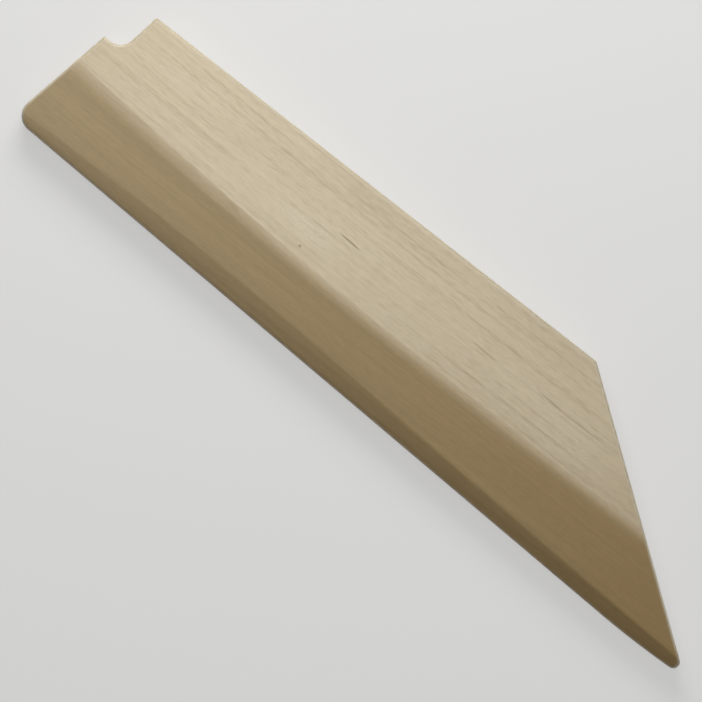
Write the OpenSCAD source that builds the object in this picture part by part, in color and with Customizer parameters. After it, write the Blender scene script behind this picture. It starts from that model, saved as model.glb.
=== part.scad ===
// Wooden sheath for a sword-tip kitchen knife: two carved halves glued at the middle plane.
// Drafting frame: x runs from the mouth to the tip, y is 0 at the spine side and negative
// towards the edge side, z is 0 at the glue line. The finished part lies on its back face.

/* [Outline] */
// Length of the straight spine side, from the mouth to the shoulder of the tip
spine_length = 185.8; // [120:0.1:240]
// Width at the spine corner of the mouth
mouth_width = 56.2; // [44:0.1:70]
// Angle by which the edge side spreads away from the spine side
edge_spread = 2.22; // [0.5:0.01:4]
// Angle between the slanted tip and the spine side
tip_angle = 36.35; // [30:0.05:50]
// Radius of the rounded point of the tip
nose_radius = 2.2; // [1:0.1:4]
// Length over which the edge side curves up to the point, before the two sides would cross
belly_length = 38; // [25:0.1:60]
// Radius of that curve
belly_radius = 327; // [250:1:600]

/* [Mouth] */
// Slant of the mouth on the edge side
heel_slant = 11.4; // [0:0.1:20]
// How far the edge side of the mouth reaches back beyond the spine corner
heel_reach = 9.9; // [8.5:0.1:20]
// Radius of the corner between the mouth and the edge side
heel_radius = 5.8; // [2:0.1:12]
// Slant of the mouth on the spine side
throat_slant = 9.3; // [0:0.1:15]
// Depth of the neck notch, measured from the spine side
notch_depth = 15.7; // [10:0.1:20]
// Radius in the inner corner of the notch
notch_radius = 5.5; // [2:0.1:7]

/* [Faces] */
// Thickness of one half
half_thickness = 8; // [7.6:0.1:11]
// Distance from the straight part of the ridge to the edge side, level with the spine corner
bevel_width = 19; // [17:0.1:22]
// Place along the spine side where the ridge turns from straight to curved
ridge_bend = 152; // [110:1:180]
// Radius of the curve that brings the ridge nearer to the spine side at the mouth
ridge_bend_radius = 1720; // [1500:10:4000]
// Radius of the soft rounding along the ridge
ridge_softness = 29; // [5:1:40]
// Slope of the bevel
bevel_angle = 10; // [6:0.1:11.5]
// Radius of the rounded band along the edge side, across its width
band_radius = 46; // [42:1:70]
// Slope at which the band meets the edge side, at the mouth
band_angle_mouth = 23.5; // [22:0.5:28]
// Slope at which the band meets the edge side, where the edge side starts to curve
band_angle_tip = 33.5; // [29:0.5:38]
// How far the band falls below the flat face at the edge side, at the mouth
band_drop_mouth = 5.38; // [5.2:0.02:6]
// The same where the edge side starts to curve
band_drop_tip = 7.08; // [6.6:0.02:7.3]
// Width of the eased arris around the outer faces
arris = 0.6; // [0.2:0.05:0.9]

/* [Blade pocket] */
// Wood left beside the pocket along the spine side
spine_wall = 4.5; // [3:0.1:7]
// Wood left beside the pocket along the slanted tip
tip_wall = 6; // [4:0.1:9]
// Wood left beside the pocket along the edge side
edge_wall = 7.5; // [6:0.1:10]
// Depth carved into one half under the back of the blade
pocket_depth_spine = 2.8; // [2.2:0.1:3.4]
// Depth carved into one half under the cutting edge, at the mouth
pocket_depth_edge = 1.6; // [1:0.05:2]
// Radius of the pocket's far point
pocket_nose_radius = 1.2; // [0.6:0.1:2]
// Length of the flared entry at the mouth
entry_length = 3; // [1:0.1:5]
// Slope of the flared entry
entry_angle = 12; // [5:1:20]

/* [Hidden] */
$fn = 96;
fine_steps = 720;
over = 1;
far = 40;
// A rounding starts this much proud of the sides it joins, so that it crosses them cleanly
bite = 0.002;

// A straight side is [outward angle, distance from the drafting origin]
spine_side = [90, 0];
tip_side = [90 - tip_angle, spine_length * sin(tip_angle)];
edge_side = [-90 - edge_spread, mouth_width * cos(edge_spread)];
floor_side = [90, -notch_depth];
throat_side = [180 - throat_slant, 0];
heel_top = [-heel_reach, -notch_depth];
heel_side = [180 - heel_slant, outward(180 - heel_slant) * heel_top];

function outward(angle) = [cos(angle), sin(angle)];
function flat_vector(v) = [v[0], v[1], 0];
function unit(v) = v / norm(v);
function tilted(angle) = flat_vector(outward(angle)) * sin(bevel_angle) + [0, 0, cos(bevel_angle)];
function inset(side, depth) = [side[0], side[1] - depth];

// Point where two straight sides cross
function meet(a, b) =
    [a[1] * sin(b[0]) - b[1] * sin(a[0]), b[1] * cos(a[0]) - a[1] * cos(b[0])] / sin(b[0] - a[0]);

// Centre of the belly curve, which touches the straight edge side where it starts
belly_start = meet(tip_side, edge_side)[0] - belly_length;
belly_touch = [belly_start, -mouth_width - belly_start * tan(edge_spread)];
belly_centre = belly_touch - belly_radius * outward(edge_side[0]);

// Centre of a circle that touches a slanted tip side and the inside of a belly curve
function nose_centre(side, curve_radius, radius) =
    let (normal = outward(side[0]))
    let (along = outward(side[0] - 90))
    let (rise = side[1] - radius - normal * belly_centre)
    belly_centre + rise * normal + sqrt(pow(curve_radius - radius, 2) - rise * rise) * along;

heel_centre = meet(inset(heel_side, heel_radius), inset(edge_side, heel_radius));
notch_centre = meet(inset(floor_side, -notch_radius), inset(throat_side, -notch_radius));
nose = nose_centre(tip_side, belly_radius, nose_radius);
belly_end_angle = atan2(nose[1] - belly_centre[1], nose[0] - belly_centre[0]);

// The finished part's origin is under the middle of its box
middle_x = (heel_centre[0] - heel_radius + nose[0] + nose_radius) / 2;
middle_y = (belly_centre[1] - belly_radius) / 2;

// Distance from the spine side to the straight part of the ridge
ridge_inset = mouth_width - bevel_width;

// A sloping face is [point on it, its upward normal]
flat_face = [[0, 0, half_thickness], [0, 0, 1]];
bevel_face = [[0, -ridge_inset, half_thickness], tilted(-90)];
ridge_axis = [ridge_bend, ridge_bend_radius - ridge_inset];
ridge_turn = asin((heel_reach + ridge_bend) / ridge_bend_radius);
ridge_at_mouth = ridge_axis + ridge_bend_radius * outward(-90 - ridge_turn);
bevel_face_mouth = [[ridge_at_mouth[0], ridge_at_mouth[1], half_thickness], tilted(-90 - ridge_turn)];
ridge_mouth_side = [-90 - ridge_turn, outward(-90 - ridge_turn) * ridge_at_mouth];

// The band is rounded about an axis below the board, which these points at the two ends set
function band_centre(touch, drop, angle) =
    flat_vector(touch - band_radius * sin(angle) * outward(edge_side[0]))
    + [0, 0, half_thickness - drop - band_radius * cos(angle)];
band_start = band_centre([0, -mouth_width], band_drop_mouth, band_angle_mouth);
band_end = band_centre(belly_touch, band_drop_tip, band_angle_tip);
band_run = band_end - band_start;
band_yaw = atan2(band_run[1], band_run[0]);
band_pitch = atan2(band_run[2], norm([band_run[0], band_run[1]]));

// The band's surface over a point of the plan, written as a sloping face
function band_face(p) =
    let (from_start = p - [band_start[0], band_start[1]])
    let (rise = (from_start * outward(band_yaw)) * tan(band_pitch))
    let (slope = asin(from_start * outward(band_yaw - 90) / band_radius))
    let (above = flat_vector(outward(band_yaw)) * -sin(band_pitch) + [0, 0, cos(band_pitch)])
    let (aside = flat_vector(outward(band_yaw - 90)))
    [[p[0], p[1], band_start[2] + rise + band_radius * cos(slope)], aside * sin(slope) + above * cos(slope)];

// Height of a sloping face over a point of the plan
function height_at(face, p) =
    face[0][2] - ([face[1][0], face[1][1]] * (p - [face[0][0], face[0][1]])) / face[1][2];

// Depth of the pocket's floor, which thins with the blade from its back to its edge
pocket_taper = (pocket_depth_spine - pocket_depth_edge) / (mouth_width - edge_wall - spine_wall);
function pocket_depth(distance) = pocket_depth_spine - (distance - spine_wall) * pocket_taper;

// What is left outside a rounded corner, between two outward angles
module spare_corner(centre, radius, angle_a, angle_b) {
    reach = 4 * radius;
    difference() {
        polygon([
            centre,
            centre + reach * outward(angle_a),
            centre + reach * outward((angle_a + angle_b) / 2),
            centre + reach * outward(angle_b)
        ]);
        translate(centre) circle(radius + bite);
    }
}

// Sword-tip shape with its sides moved in, open towards the mouth
module blade_plan(spine_in, tip_in, edge_in, radius) {
    spine = inset(spine_side, spine_in);
    tip = inset(tip_side, tip_in);
    edge = inset(edge_side, edge_in);
    back = [180, far];
    curve_radius = belly_radius - edge_in;
    point = nose_centre(tip, curve_radius, radius);
    point_angle = atan2(point[1] - belly_centre[1], point[0] - belly_centre[0]);
    difference() {
        polygon([meet(spine, back), meet(spine, tip), meet(tip, edge), meet(edge, back)]);
        difference() {
            translate(belly_centre + curve_radius * outward(edge[0]))
                rotate(-edge_spread)
                    translate([0, -far]) square([2 * far, 2 * far]);
            translate(belly_centre) circle(curve_radius + bite, $fn = fine_steps);
        }
        spare_corner(point, radius, tip[0], point_angle);
    }
}

// Everything behind the mouth: the slanted heel, the notch and the slanted throat
module mouth_plan() {
    above = [90, far];
    below = [90, -2 * far];
    back = [180, 2 * far];
    difference() {
        polygon([
            meet(above, back),
            meet(above, throat_side),
            meet(floor_side, throat_side),
            meet(floor_side, heel_side),
            meet(below, heel_side),
            meet(below, back)
        ]);
        spare_corner(notch_centre, notch_radius, -90, -throat_slant);
    }
}

module sheath_plan() {
    difference() {
        blade_plan(0, 0, 0, nose_radius);
        mouth_plan();
        spare_corner(heel_centre, heel_radius, heel_side[0], 360 + edge_side[0]);
    }
}

// Removes what stands beyond a plane; the block is long along a level edge of that plane
module shave(at, facing, along, across = 12, high = 6) {
    translate(at)
        rotate([0, acos(facing[2] / norm(facing)), atan2(facing[1], facing[0])])
            translate([-across / 2, -along / 2, 0]) cube([across, along, high]);
}

// Eases the arris between an upright wall and a face
module ease(p, wall_angle, face, along) {
    wall = flat_vector(outward(wall_angle));
    facing = wall + face[1];
    depth = arris * norm(wall - face[1]) / 2;
    shave([p[0], p[1], height_at(face, p)] - depth * unit(facing), facing, along);
}

// Section of one half: x2 is the distance beyond the ridge, y2 the height above the glue line
module half_section() {
    touch = ridge_softness * tan(bevel_angle / 2);
    difference() {
        polygon([
            [-far - over, -over],
            [-far - over, half_thickness],
            [0, half_thickness],
            [far, half_thickness - far * tan(bevel_angle)],
            [far, -over]
        ]);
        spare_corner([-touch, half_thickness - ridge_softness], ridge_softness, 90 - bevel_angle, 90);
    }
}

// Flat, soft ridge and bevel: straight towards the tip, gently curved towards the mouth
module carved_face() {
    straight = nose[0] + far - ridge_bend;
    swing = asin((2 * far + ridge_bend) / ridge_bend_radius);
    translate([ridge_bend + straight, -ridge_inset, 0])
        rotate([90, 0, -90])
            linear_extrude(height = straight) half_section();
    translate(flat_vector(ridge_axis))
        mirror([1, 0, 0])
            rotate([0, 0, -90])
                rotate_extrude(angle = swing, $fn = 8 * fine_steps)
                    translate([ridge_bend_radius, 0]) half_section();
}

// Section across the band: x2 is the distance out from its axis, y2 the height above the axis
module band_section() {
    gentle = bevel_angle + 4;
    steep = 60;
    middle = (steep + gentle) / 2;
    corner = band_radius / cos((steep - gentle) / 2) * outward(90 - middle);
    difference() {
        polygon([
            [-3 * far, 0],
            corner - 3 * far * outward(-gentle),
            corner,
            corner + far * outward(-steep),
            [2 * far, 0]
        ]);
        spare_corner([0, 0], band_radius, 90 - steep, 90 - gentle);
    }
}

// Everything under the rounded band that thins the edge side
module band_shape() {
    translate(band_end + far * unit(band_run))
        rotate([0, -band_pitch, band_yaw])
            rotate([90, 0, -90])
                linear_extrude(height = norm(band_run) + 3 * far) band_section();
}

// Section of the eased arris in the notch: x2 is the distance into the wood
module notch_arris_section(width) {
    polygon([
        [-over, half_thickness - width - over],
        [-over, half_thickness + over],
        [width + over, half_thickness + over]
    ]);
}

// Length of straight throat and floor that the notch's rounding leaves
module notch_arris() {
    throat_run = norm(meet(floor_side, throat_side)) + over;
    floor_run = notch_centre[0] - meet(floor_side, heel_side)[0] + over;
    throat_touch = notch_centre + notch_radius * outward(-throat_slant);
    spare_turn = 6;
    translate(flat_vector(throat_touch))
        rotate([90, 0, -throat_slant + 180])
            mirror([1, 0, 0])
                linear_extrude(height = throat_run) notch_arris_section(arris);
    translate([notch_centre[0] - floor_run, -notch_depth, 0])
        rotate([90, 0, 90])
            mirror([1, 0, 0])
                linear_extrude(height = floor_run) notch_arris_section(arris);
    translate(flat_vector(notch_centre))
        rotate([0, 0, -90 - spare_turn])
            rotate_extrude(angle = 90 - throat_slant + 2 * spare_turn)
                translate([notch_radius, 0]) notch_arris_section(arris + 5 * bite);
}

module eased_arrises() {
    shoulder = meet(spine_side, tip_side);
    ridge_end = meet([-90, ridge_inset], tip_side);
    heel_turn = 360 + edge_side[0] - heel_side[0];
    nose_turn = tip_side[0] - belly_end_angle;
    belly_turn = belly_end_angle - edge_side[0];
    heel_steps = 10;
    edge_steps = 4;
    belly_steps = 6;
    nose_steps = 8;
    nose_start = nose + nose_radius * outward(tip_side[0]);
    ease(shoulder / 2, 90, flat_face, spine_length + far);
    ease((shoulder + ridge_end) / 2, tip_side[0], flat_face, 3 * far);
    ease(ridge_end, tip_side[0], bevel_face, 3 * far);
    ease(nose_start, tip_side[0], band_face(nose_start), far);
    ease(heel_top, heel_side[0], flat_face, 2 * far);
    ease(meet(ridge_mouth_side, heel_side), heel_side[0], bevel_face_mouth, 2 * far);
    for (i = [0 : edge_steps]) {
        p = [0, -mouth_width] + (belly_touch + [0, mouth_width]) * i / edge_steps;
        ease(p, edge_side[0], band_face(p), 2 * belly_start);
    }
    for (i = [1 : heel_steps - 1]) {
        angle = heel_side[0] + heel_turn * i / heel_steps;
        p = heel_centre + heel_radius * outward(angle);
        ease(p, angle, bevel_face_mouth, heel_radius);
        ease(p, angle, band_face(p), heel_radius);
    }
    for (i = [1 : belly_steps]) {
        angle = edge_side[0] + belly_turn * i / belly_steps;
        p = belly_centre + belly_radius * outward(angle);
        ease(p, angle, band_face(p), far / 2);
    }
    for (i = [1 : nose_steps - 1]) {
        angle = belly_end_angle + nose_turn * i / nose_steps;
        p = nose + nose_radius * outward(angle);
        ease(p, angle, band_face(p), 2 * nose_radius);
    }
    notch_arris();
}

// Flare of the pocket's floor along one side of the mouth, between two widths of the plan
module entry(side, y_low, y_high) {
    start = meet(inset(side, entry_length), [90, y_high]);
    rise = tan(entry_angle) * outward(side[0]) + [0, pocket_taper];
    intersection() {
        shave([start[0], start[1], pocket_depth(-y_high)], [rise[0], rise[1], -1], 4 * far, 4 * far, far);
        translate([start[0] - far, y_low, -over]) cube([2 * far, y_high - y_low, half_thickness]);
    }
}

// Room for the blade in one half: as deep as half the blade, which thins towards its edge
module pocket_cut() {
    length = nose[0] + far;
    intersection() {
        translate([0, 0, -over])
            linear_extrude(height = half_thickness)
                blade_plan(spine_wall, tip_wall, edge_wall, pocket_nose_radius);
        union() {
            translate([nose[0], 0, 0])
                rotate([90, 0, -90])
                    linear_extrude(height = length)
                        polygon([
                            [0, -over],
                            [0, pocket_depth(0)],
                            [2 * far, pocket_depth(2 * far)],
                            [2 * far, -over]
                        ]);
            entry(heel_side, -mouth_width, -notch_depth);
            entry(throat_side, notch_centre[1], 0);
        }
    }
}

// Outside of one half before its arrises are eased
module carved_board() {
    intersection() {
        intersection() {
            linear_extrude(height = half_thickness + over) sheath_plan();
            carved_face();
        }
        band_shape();
    }
}

module eased_board() {
    difference() {
        carved_board();
        eased_arrises();
    }
}

module sheath_half() {
    difference() {
        eased_board();
        pocket_cut();
    }
}

module placed() {
    translate([-middle_x, -middle_y, half_thickness]) children();
}

module front_half() {
    color([0.76, 0.70, 0.58]) placed() sheath_half();
}

module back_half() {
    color([0.72, 0.65, 0.53]) placed() mirror([0, 0, 1]) sheath_half();
}

front_half();
back_half();
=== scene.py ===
import math
import bpy
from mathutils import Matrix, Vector


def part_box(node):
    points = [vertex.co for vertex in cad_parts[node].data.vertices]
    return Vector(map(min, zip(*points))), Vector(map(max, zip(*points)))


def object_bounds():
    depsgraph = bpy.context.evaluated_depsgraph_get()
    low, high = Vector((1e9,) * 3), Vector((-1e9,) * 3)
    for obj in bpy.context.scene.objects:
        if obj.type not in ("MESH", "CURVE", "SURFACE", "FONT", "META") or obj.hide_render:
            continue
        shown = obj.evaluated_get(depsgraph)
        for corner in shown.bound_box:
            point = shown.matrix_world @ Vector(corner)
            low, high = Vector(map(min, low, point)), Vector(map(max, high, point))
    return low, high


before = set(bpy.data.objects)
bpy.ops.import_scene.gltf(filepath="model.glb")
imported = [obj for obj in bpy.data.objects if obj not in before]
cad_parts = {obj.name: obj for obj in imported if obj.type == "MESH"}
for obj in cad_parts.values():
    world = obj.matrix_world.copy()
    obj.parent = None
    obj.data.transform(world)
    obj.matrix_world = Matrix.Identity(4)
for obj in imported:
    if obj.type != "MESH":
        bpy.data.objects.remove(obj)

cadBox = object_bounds()
mm = 0.001
scene = bpy.context.scene
scene.view_settings.view_transform = "Standard"


# Helpers for node trees: an input is either a plain value or the socket that feeds it
def addNode(tree, kind, inputs=None, **settings):
    node = tree.nodes.new(kind)
    for name, value in settings.items():
        setattr(node, name, value)
    for key, value in (inputs or {}).items():
        if isinstance(value, bpy.types.NodeSocket):
            tree.links.new(value, node.inputs[key])
        else:
            node.inputs[key].default_value = value
    return node


def calc(tree, operation, a, b=0.0, c=0.0, clamp=False):
    node = addNode(tree, "ShaderNodeMath", {0: a, 1: b, 2: c},
                   operation=operation, use_clamp=clamp)
    return node.outputs[0]


def mapRange(tree, value, low, high, toLow=0.0, toHigh=1.0, smooth=False):
    node = addNode(tree, "ShaderNodeMapRange",
                   {"Value": value, "From Min": low, "From Max": high,
                    "To Min": toLow, "To Max": toHigh},
                   interpolation_type="SMOOTHSTEP" if smooth else "LINEAR")
    return node.outputs["Result"]


# Soft steps over a span of values, from 0 to 1 and from 1 to 0
def rise(tree, value, span):
    return mapRange(tree, value, *span, smooth=True)


def fall(tree, value, span):
    return mapRange(tree, value, *span, 1.0, 0.0, smooth=True)


def mixColour(tree, factor, a, b, blend="MIX"):
    node = addNode(tree, "ShaderNodeMix", {"Factor": factor, 6: a, 7: b},
                   data_type="RGBA", blend_type=blend)
    return node.outputs[2]


def mixVector(tree, factor, a, b):
    node = addNode(tree, "ShaderNodeMix", {"Factor": factor, 4: a, 5: b}, data_type="VECTOR")
    return node.outputs[1]


def splitVector(tree, vector):
    return addNode(tree, "ShaderNodeSeparateXYZ", {0: vector}).outputs


# A place whose X is shrunk, so that a texture on it is drawn out along X
def drawnOut(tree, place, share):
    node = addNode(tree, "ShaderNodeMapping", {"Vector": place, "Scale": (share, 1, 1)},
                   vector_type="POINT")
    return node.outputs[0]


def fibreNoise(tree, place, look):
    node = addNode(tree, "ShaderNodeTexNoise",
                   {"Vector": drawnOut(tree, place, look["along"]), "Scale": look["scale"],
                    "Detail": look["detail"], "Roughness": look["rough"]},
                   noise_dimensions="3D")
    return node.outputs[0]


def newGroup(name, inputs, outputs):
    group = bpy.data.node_groups.new(name, "ShaderNodeTree")
    for label, kind, value in inputs:
        socket = group.interface.new_socket(label, in_out="INPUT", socket_type=kind)
        if value is not None:
            socket.default_value = value
    for label, kind in outputs:
        group.interface.new_socket(label, in_out="OUTPUT", socket_type=kind)
    return group, group.nodes.new("NodeGroupInput"), group.nodes.new("NodeGroupOutput")


def useGroup(tree, group, inputs):
    return addNode(tree, "ShaderNodeGroup", inputs, node_tree=group)


def newTree(owner):
    owner.use_nodes = True
    owner.node_tree.nodes.clear()
    return owner.node_tree


# Growth rings: where in a ring the slow darkening and the thin late line lie, and how they vary
growthRings = {
    "wander": {"along": 0.10, "scale": 45, "detail": 2, "rough": 0.5},
    "wanderReach": 2.4 * mm,
    "fade": {"along": 0.12, "scale": 70, "detail": 1, "rough": 0.5},
    "fadeSpan": (0.3, 0.65),
    "leastFade": 0.35,
    "weakestRing": 0.15,
    "slowRise": (0.15, 0.85),
    "slowFall": (0.88, 1.0),
    "lineRise": (0.68, 0.88),
    "lineFall": (0.90, 1.0),
    "slowShare": 0.08,
    "lineShare": 0.22,
}
# Noise along the grain, from broad bands to fine flecks, each with its share of the tone
grainLayers = {
    "bands": {"along": 0.020, "scale": 150, "detail": 2, "rough": 0.5, "share": 0.24},
    "lines": {"along": 0.012, "scale": 620, "detail": 2, "rough": 0.5, "share": 0.30},
    "fibres": {"along": 0.020, "scale": 2100, "detail": 2, "rough": 0.55, "share": 0.26},
    "flecks": {"along": 0.16, "scale": 1700, "detail": 2, "rough": 0.6, "share": 0.50},
}
grainTone = {"noiseSpan": (0.3, 0.7), "middle": 0.35, "fleckHeight": 0.5}


# Colour, tone and height of the wood, from grain coordinates in metres
def makeGrainGroup():
    group, given, result = newGroup(
        "woodGrain",
        [("Grain Place", "NodeSocketVector", None),
         ("Ring Gap", "NodeSocketFloat", 0.004),
         ("Ring Lean", "NodeSocketFloat", 0.35),
         ("Pale", "NodeSocketColor", (0.5, 0.4, 0.25, 1)),
         ("Dark", "NodeSocketColor", (0.4, 0.3, 0.17, 1)),
         ("Contrast", "NodeSocketFloat", 1.0)],
        [("Colour", "NodeSocketColor"),
         ("Tone", "NodeSocketFloat"),
         ("Height", "NodeSocketFloat")])
    place = given.outputs["Grain Place"]
    xyz = splitVector(group, place)
    wander = calc(group, "SUBTRACT", fibreNoise(group, place, growthRings["wander"]), 0.5)
    across = calc(group, "MULTIPLY_ADD", xyz["Z"], given.outputs["Ring Lean"], xyz["Y"])
    across = calc(group, "MULTIPLY_ADD", wander, growthRings["wanderReach"], across)
    rings = calc(group, "DIVIDE", across, given.outputs["Ring Gap"])
    ringPart = calc(group, "FRACT", rings)

    # Each ring has its own strength, which comes and goes along it
    mood = addNode(group, "ShaderNodeTexWhiteNoise", {"W": calc(group, "FLOOR", rings)},
                   noise_dimensions="1D").outputs["Value"]
    mood = mapRange(group, mood, 0.0, 1.0, growthRings["weakestRing"], 1.0)
    fade = mapRange(group, fibreNoise(group, place, growthRings["fade"]),
                    *growthRings["fadeSpan"], growthRings["leastFade"], 1.0, smooth=True)
    strength = calc(group, "MULTIPLY", mood, fade)
    slow = calc(group, "MULTIPLY", rise(group, ringPart, growthRings["slowRise"]),
                fall(group, ringPart, growthRings["slowFall"]))
    line = calc(group, "MULTIPLY", rise(group, ringPart, growthRings["lineRise"]),
                fall(group, ringPart, growthRings["lineFall"]))
    line = calc(group, "MULTIPLY", line, strength)

    tone = calc(group, "MULTIPLY", line, growthRings["lineShare"])
    tone = calc(group, "MULTIPLY_ADD", slow, growthRings["slowShare"], tone)
    layers = {name: fibreNoise(group, place, look) for name, look in grainLayers.items()}
    for name, layer in layers.items():
        centred = mapRange(group, layer, *grainTone["noiseSpan"], -0.5, 0.5)
        tone = calc(group, "MULTIPLY_ADD", centred, grainLayers[name]["share"], tone)
    tone = calc(group, "MULTIPLY_ADD", tone, given.outputs["Contrast"], grainTone["middle"],
                clamp=True)
    colour = mixColour(group, tone, given.outputs["Pale"], given.outputs["Dark"])
    height = calc(group, "MULTIPLY_ADD", layers["flecks"], grainTone["fleckHeight"],
                  layers["fibres"])
    group.links.new(colour, result.inputs["Colour"])
    group.links.new(tone, result.inputs["Tone"])
    group.links.new(height, result.inputs["Height"])
    return group


# A pore lies in the middle of its cell, which is several pores wide and drawn out along the grain
poreShape = {"along": 0.05, "cellWidths": 3.0, "edge": (0.12, 0.42)}


# Short dark pores that follow the fibres; Share says how many of the cells hold one
def makePoreGroup():
    group, given, result = newGroup(
        "woodPores",
        [("Grain Place", "NodeSocketVector", None),
         ("Width", "NodeSocketFloat", 0.0002),
         ("Share", "NodeSocketFloat", 0.1)],
        [("Mask", "NodeSocketFloat")])
    cellSize = calc(group, "MULTIPLY", given.outputs["Width"], poreShape["cellWidths"])
    place = drawnOut(group, given.outputs["Grain Place"], poreShape["along"])
    cells = addNode(group, "ShaderNodeVectorMath",
                    {0: place, 1: calc(group, "DIVIDE", 1.0, cellSize)}, operation="MULTIPLY")
    pores = addNode(group, "ShaderNodeTexVoronoi", {"Vector": cells.outputs[0], "Scale": 1.0},
                    feature="F1", voronoi_dimensions="3D")
    chance = addNode(group, "ShaderNodeSeparateColor", {0: pores.outputs["Color"]}).outputs[0]
    chosen = calc(group, "LESS_THAN", chance, given.outputs["Share"])
    core = fall(group, pores.outputs["Distance"], poreShape["edge"])
    group.links.new(calc(group, "MULTIPLY", chosen, core), result.inputs["Mask"])
    return group


# Each pair says over which part of a direction's X, Y or Z an effect comes in or goes out
arrisLook = {
    "samples": 6,
    "creaseSamples": 8,
    "creaseSideways": (0.12, 0.18),
    "creaseUpright": (0.76, 0.84),
    "creaseSpineSide": (-0.08, -0.02),
    "seam": (-0.12, -0.02),
    "wornOutward": (0.10, 0.35),
    "wornUpright": (0.15, 0.40),
    "wornTipAndHighlight": (0.15, 0.40),
}


# Normal that rounds the arrises and, more widely, the band's shallow crease, and masks of the
# worn arrises, which also carry painted sheen and, at the tip, a painted highlight. Outer Side
# is 1 on the board whose outer face looks up and -1 on the other.
def makeArrisGroup():
    group, given, result = newGroup(
        "softArris",
        [("Reach", "NodeSocketFloat", 0.0005),
         ("Crease Reach", "NodeSocketFloat", 0.0016),
         ("Outer Side", "NodeSocketFloat", 1.0)],
        [("Normal", "NodeSocketVector"),
         ("Mask", "NodeSocketFloat"),
         ("Tip Wear And Highlight", "NodeSocketFloat")])
    side = given.outputs["Outer Side"]
    rounded = addNode(group, "ShaderNodeBevel", {"Radius": given.outputs["Reach"]},
                      samples=arrisLook["samples"]).outputs[0]
    wide = addNode(group, "ShaderNodeBevel", {"Radius": given.outputs["Crease Reach"]},
                   samples=arrisLook["creaseSamples"]).outputs[0]
    wideX, wideY, wideZ = splitVector(group, wide)
    sideways = calc(group, "ABSOLUTE", wideX)
    upright = calc(group, "MULTIPLY", wideZ, side)
    crease = calc(group, "MULTIPLY", fall(group, sideways, arrisLook["creaseSideways"]),
                  rise(group, upright, arrisLook["creaseUpright"]))
    crease = calc(group, "MULTIPLY", crease,
                  fall(group, wideY, arrisLook["creaseSpineSide"]))

    # The glue seam keeps the plain normal, so its edge catches no light
    roundedUp = calc(group, "MULTIPLY", splitVector(group, rounded)["Z"], side)
    offSeam = rise(group, roundedUp, arrisLook["seam"])
    plain = addNode(group, "ShaderNodeNewGeometry").outputs["Normal"]
    normal = mixVector(group, offSeam, plain, rounded)
    normal = mixVector(group, crease, normal, wide)
    normal = addNode(group, "ShaderNodeVectorMath", {0: normal}, operation="NORMALIZE")
    outward = calc(group, "MAXIMUM", sideways, wideY)
    # Worn arrises, whose paler colour is also painted sheen
    wearAndSheen = calc(group, "MULTIPLY", rise(group, outward, arrisLook["wornOutward"]),
                rise(group, upright, arrisLook["wornUpright"]))
    # The tip's slanted arris, whose paler colour is also a painted highlight
    tipWearAndHighlight = calc(group, "MULTIPLY", wearAndSheen, rise(group, wideX, arrisLook["wornTipAndHighlight"]))
    group.links.new(normal.outputs[0], result.inputs["Normal"])
    group.links.new(wearAndSheen, result.inputs["Mask"])
    group.links.new(tipWearAndHighlight, result.inputs["Tip Wear And Highlight"])
    return group


grainGroup = makeGrainGroup()
poreGroup = makePoreGroup()
arrisGroup = makeArrisGroup()
print("node groups made")

# The grain runs along X and slants a little between straightFrom and the mouth
grainFlow = {"slant": math.tan(math.radians(2.0)), "straightFrom": 0.02}


def addGrainFlow(tree, place, shift):
    x, y, z = splitVector(tree, place)
    reach = grainFlow["straightFrom"] - cadBox[0].x
    before = calc(tree, "SUBTRACT", grainFlow["straightFrom"], x)
    before = calc(tree, "MAXIMUM", before, 0.0)
    bend = calc(tree, "MULTIPLY", calc(tree, "MULTIPLY", before, before),
                -grainFlow["slant"] / (2 * reach))
    flow = addNode(tree, "ShaderNodeCombineXYZ", {0: x, 1: calc(tree, "ADD", y, bend), 2: z})
    moved = addNode(tree, "ShaderNodeVectorMath", {0: flow.outputs[0], 1: shift},
                    operation="ADD")
    return moved.outputs[0]


# Streaks of mineral stain, the last one a mere speck: x, y, half length and half width in
# millimetres, then strength and slope
streaks = [
    (-30.0, 13.7, 3.8, 0.24, 0.55, 0.049),
    (28.1, 12.5, 5.0, 0.28, 0.20, 0.02),
    (55.5, 13.0, 4.0, 0.26, 0.24, 0.02),
    (66.0, 12.6, 13.0, 0.26, 0.18, 0.0),
    (-42.3, 2.35, 0.40, 0.36, 0.60, 0.0),
]


def addStreaks(tree, place):
    xyz = splitVector(tree, place)
    stain = 0.0
    for middleX, middleY, halfLength, halfWidth, strength, slope in streaks:
        fromMiddle = calc(tree, "SUBTRACT", xyz["X"], middleX * mm)
        along = calc(tree, "DIVIDE", fromMiddle, halfLength * mm)
        along = calc(tree, "MULTIPLY", along, along)
        across = calc(tree, "MULTIPLY_ADD", fromMiddle, slope,
                      calc(tree, "SUBTRACT", xyz["Y"], middleY * mm))
        across = calc(tree, "DIVIDE", across, halfWidth * mm)
        across = calc(tree, "MULTIPLY", across, across)
        away = calc(tree, "MULTIPLY_ADD", along, along, across)
        streak = calc(tree, "EXPONENT", calc(tree, "MULTIPLY", away, -1.0))
        stain = calc(tree, "MAXIMUM", stain, calc(tree, "MULTIPLY", streak, strength))
    return stain


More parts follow.
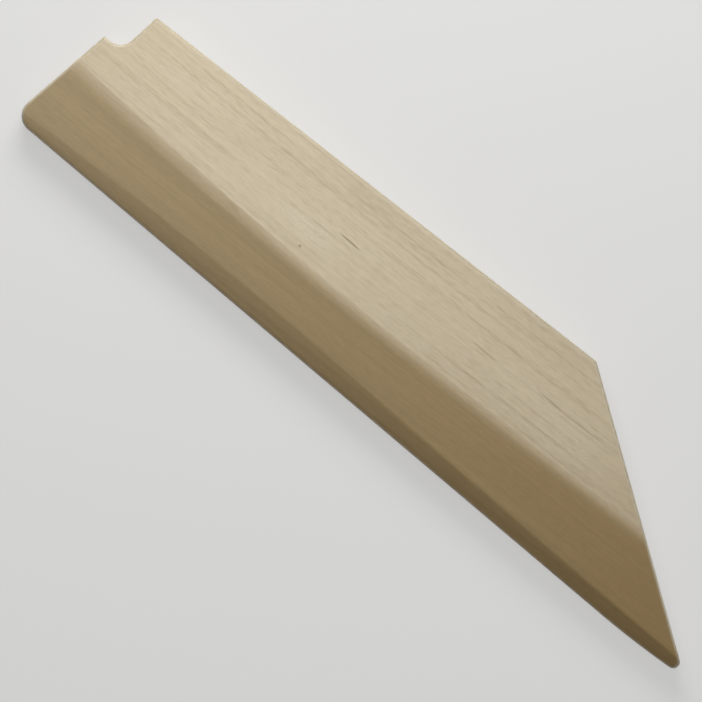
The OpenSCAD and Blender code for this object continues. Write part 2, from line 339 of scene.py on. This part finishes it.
# Bare wood, with the values that differ between the two boards
bareWood = {
    "pale": (0.580, 0.417, 0.206, 1),
    "dark": (0.377, 0.258, 0.118, 1),
    "contrast": 0.62,
    "ringGap": 4.0 * mm,
    # Tints along the length: painted sheen at the mouth, painted shade at the tip
    "mouthPaintedSheen": (1.01, 1.05, 1.22, 1),
    "tipPaintedShade": (0.95, 0.88, 0.78, 1),
    "poreColour": (0.25, 0.17, 0.09, 1),
    "poreWidth": 0.14 * mm,
    "poreShare": 0.06,
    "poreStrength": 0.16,
    "poreHeight": -0.4,
    "stainColour": (0.13, 0.09, 0.05, 1),
    "stainRoughness": 0.45,
    "arrisReach": 0.22 * mm,
    "creaseReach": 1.6 * mm,
    # Arris colours: wear with painted sheen, and on the tip's slanted arris wear with a painted
    # highlight
    "wornArrisAndSheen": (0.58, 0.49, 0.34, 1),
    "wornTipArrisAndHighlight": (0.74, 0.65, 0.47, 1),
    "wornAndSheenShare": 0.85,
    "roughness": 0.25,
    "roughByTone": 0.10,
    "toneSpan": (0.36, 0.80),
    "handledPatches": {"along": 0.3, "scale": 60, "detail": 3, "rough": 0.5, "share": 0.08},
    "specular": 1.0,
    "ior": 1.65,
    "bumpDepth": 0.007 * mm,
    "boards": {
        "front_half": {"shift": (0.0, -0.0030, 0.0), "lean": 0.20,
                       "outerSide": 1.0, "marks": True},
        "back_half": {"shift": (0.71, 0.2420, 0.35), "lean": -0.30,
                      "outerSide": -1.0, "marks": False},
    },
}
glueLine = {"halfWidth": 0.07 * mm, "darkness": 0.35, "colour": (0.16, 0.10, 0.05, 1)}


def makeBareWood(name, board):
    material = bpy.data.materials.new("bareWood_" + name)
    tree = newTree(material)
    place = addNode(tree, "ShaderNodeTexCoord").outputs["Object"]
    xyz = splitVector(tree, place)
    flow = addGrainFlow(tree, place, board["shift"])
    grain = useGroup(tree, grainGroup, {
        "Grain Place": flow, "Ring Gap": bareWood["ringGap"], "Ring Lean": board["lean"],
        "Pale": bareWood["pale"], "Dark": bareWood["dark"],
        "Contrast": bareWood["contrast"]}).outputs
    pores = useGroup(tree, poreGroup, {
        "Grain Place": flow, "Width": bareWood["poreWidth"],
        "Share": bareWood["poreShare"]}).outputs["Mask"]
    arris = useGroup(tree, arrisGroup, {
        "Reach": bareWood["arrisReach"], "Crease Reach": bareWood["creaseReach"],
        "Outer Side": board["outerSide"]}).outputs

    # Painted light along the length: bluer and paler at the mouth as painted sheen, warmer and
    # darker at the tip as painted shade, with the pores on top
    along = mapRange(tree, xyz["X"], cadBox[0].x, cadBox[1].x)
    paintedLightTint = mixColour(tree, along, bareWood["mouthPaintedSheen"], bareWood["tipPaintedShade"])
    colour = mixColour(tree, 1.0, grain["Colour"], paintedLightTint, "MULTIPLY")
    colour = mixColour(tree, calc(tree, "MULTIPLY", pores, bareWood["poreStrength"]),
                       colour, bareWood["poreColour"])
    rough = mapRange(tree, grain["Tone"], *bareWood["toneSpan"], bareWood["roughness"],
                     bareWood["roughness"] + bareWood["roughByTone"])
    if board["marks"]:
        stain = addStreaks(tree, place)
        colour = mixColour(tree, stain, colour, bareWood["stainColour"])
        rough = calc(tree, "MULTIPLY_ADD", stain, bareWood["stainRoughness"], rough)

    # Paler where hands have rubbed the arrises, with painted sheen on them and a painted
    # highlight on the tip's slanted arris, and a fine dark glue line between the boards
    wornAndSheen = mixColour(tree, arris["Tip Wear And Highlight"], bareWood["wornArrisAndSheen"], bareWood["wornTipArrisAndHighlight"])
    colour = mixColour(tree, calc(tree, "MULTIPLY", arris["Mask"], bareWood["wornAndSheenShare"]),
                       colour, wornAndSheen)
    fromSeam = calc(tree, "SUBTRACT", xyz["Z"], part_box("back_half")[1].z)
    fromSeam = calc(tree, "ABSOLUTE", fromSeam)
    seam = mapRange(tree, fromSeam, 0.0, glueLine["halfWidth"], glueLine["darkness"], 0.0,
                    smooth=True)
    colour = mixColour(tree, seam, colour, glueLine["colour"])

    patches = bareWood["handledPatches"]
    rough = calc(tree, "MULTIPLY_ADD", fibreNoise(tree, place, patches), patches["share"], rough)
    height = calc(tree, "MULTIPLY_ADD", pores, bareWood["poreHeight"], grain["Height"])
    bump = addNode(tree, "ShaderNodeBump", {
        "Height": height, "Distance": bareWood["bumpDepth"], "Strength": 1.0,
        "Normal": arris["Normal"]})
    shader = addNode(tree, "ShaderNodeBsdfPrincipled", {
        "Base Color": colour, "Roughness": rough, "Normal": bump.outputs[0],
        "Specular IOR Level": bareWood["specular"], "IOR": bareWood["ior"]})
    addNode(tree, "ShaderNodeOutputMaterial", {"Surface": shader.outputs[0]})
    return material


for name, board in bareWood["boards"].items():
    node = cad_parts[name]
    node.data.materials.clear()
    node.data.materials.append(makeBareWood(name, board))
print("boards finished")

# Pale floor: the camera sees it partly lit and partly as its own even tone, so that it stays
# pale beside the key light. It lies a hair below the sheath.
floorLook = {
    "colour": (0.74, 0.736, 0.724, 1),
    "evenTone": (0.82, 0.815, 0.805, 1),
    "evenShare": 0.62,
    "mirrored": 0.3,
    "roughness": 0.85,
    "size": 14.0,
    "below": 0.02 * mm,
}


# 1 for what the camera sees, mirrorShare for what shows in a reflection or through glass
def seenDirectly(tree, mirrorShare=1.0):
    path = addNode(tree, "ShaderNodeLightPath").outputs
    mirrored = calc(tree, "MAXIMUM", path["Is Glossy Ray"], path["Is Transmission Ray"])
    mirrored = calc(tree, "MULTIPLY", mirrored, mirrorShare)
    return calc(tree, "MAXIMUM", path["Is Camera Ray"], mirrored)


def makeFloor():
    half = floorLook["size"] / 2
    z = -floorLook["below"]
    corners = [(-half, -half, z), (half, -half, z), (half, half, z), (-half, half, z)]
    mesh = bpy.data.meshes.new("floor")
    mesh.from_pydata(corners, [], [(0, 1, 2, 3)])
    floor = bpy.data.objects.new("floor", mesh)
    scene.collection.objects.link(floor)
    material = bpy.data.materials.new("paleFloor")
    tree = newTree(material)
    lit = addNode(tree, "ShaderNodeBsdfDiffuse", {
        "Color": floorLook["colour"], "Roughness": floorLook["roughness"]})
    even = addNode(tree, "ShaderNodeEmission", {
        "Color": floorLook["evenTone"], "Strength": 1.0})
    share = calc(tree, "MULTIPLY", seenDirectly(tree, floorLook["mirrored"]),
                 floorLook["evenShare"])
    seen = addNode(tree, "ShaderNodeMixShader", {0: share, 1: lit.outputs[0],
                                                 2: even.outputs[0]})
    addNode(tree, "ShaderNodeOutputMaterial", {"Surface": seen.outputs[0]})
    mesh.materials.append(material)


makeFloor()

# Studio lamps, all turned towards the middle of the sheath, with places in metres
lamps = {
    "overheadLong": {"size": (0.60, 0.42), "place": (-0.15, 0.08, 1.50), "power": 1.66,
                     "colour": (0.93, 1.0, 0.94)},
    "overheadTip": {"size": (0.45, 0.42), "place": (0.05, 0.10, 1.50), "power": 1.28,
                    "colour": (0.93, 1.0, 0.94)},
    "mouthKey": {"size": (0.34, 0.34), "place": (-0.30, 0.36, 0.36), "power": 3.32,
                 "colour": (1.0, 1.0, 1.0)},
    "tipRim": {"size": (0.60, 0.50), "place": (0.75, 0.30, 0.30), "power": 0.5,
               "colour": (1.0, 1.0, 1.0)},
}


def addLamp(name, lamp):
    data = bpy.data.lights.new(name, "AREA")
    data.shape = "RECTANGLE"
    data.size, data.size_y = lamp["size"]
    data.energy = lamp["power"]
    data.color = lamp["colour"]
    obj = bpy.data.objects.new(name, data)
    scene.collection.objects.link(obj)
    obj.location = lamp["place"]
    obj.rotation_euler = (-Vector(lamp["place"])).to_track_quat("-Z", "Y").to_euler()
    obj.visible_camera = False


# Faint light from all round, and a pale backdrop that the camera sees everywhere. Reflections
# see it low down only: it fades between the two heights, each the Z of a direction.
skyLight = {"strength": 0.03, "seen": (0.82, 0.815, 0.805, 1), "fadeHeights": (0.03, 0.15)}


def makeSky():
    world = bpy.data.worlds.new("studio")
    tree = newTree(world)
    light = addNode(tree, "ShaderNodeBackground", {
        "Color": (1, 1, 1, 1), "Strength": skyLight["strength"]})
    seen = addNode(tree, "ShaderNodeBackground", {"Color": skyLight["seen"], "Strength": 1.0})
    direction = addNode(tree, "ShaderNodeTexCoord").outputs["Generated"]
    backdrop = fall(tree, splitVector(tree, direction)["Z"], skyLight["fadeHeights"])
    camera = addNode(tree, "ShaderNodeLightPath").outputs["Is Camera Ray"]
    share = calc(tree, "MULTIPLY", seenDirectly(tree),
                 calc(tree, "MAXIMUM", backdrop, camera))
    mix = addNode(tree, "ShaderNodeMixShader", {0: share, 1: light.outputs[0],
                                                2: seen.outputs[0]})
    addNode(tree, "ShaderNodeOutputWorld", {"Surface": mix.outputs[0]})
    scene.world = world


for name, lamp in lamps.items():
    addLamp(name, lamp)
makeSky()
print("floor and lamps placed")

# Camera straight above the front face, turned as in the photograph. The picture spans
# fieldWidth at the height levelAt.
shot = {
    "lens": 500.0,
    "sensor": 36.0,
    "fieldWidth": 0.234,
    "overX": -7.36 * mm,
    "overY": -14.75 * mm,
    "levelAt": 12 * mm,
    "turn": math.radians(38.01),
    "clip": (0.1, 50.0),
}


def addCamera():
    data = bpy.data.cameras.new("camera")
    data.lens = shot["lens"]
    data.sensor_width = shot["sensor"]
    data.clip_start, data.clip_end = shot["clip"]
    camera = bpy.data.objects.new("camera", data)
    scene.collection.objects.link(camera)
    distance = shot["fieldWidth"] * shot["lens"] / shot["sensor"]
    camera.location = (shot["overX"], shot["overY"], shot["levelAt"] + distance)
    camera.rotation_euler = (0, 0, shot["turn"])
    scene.camera = camera


addCamera()
print("camera placed")
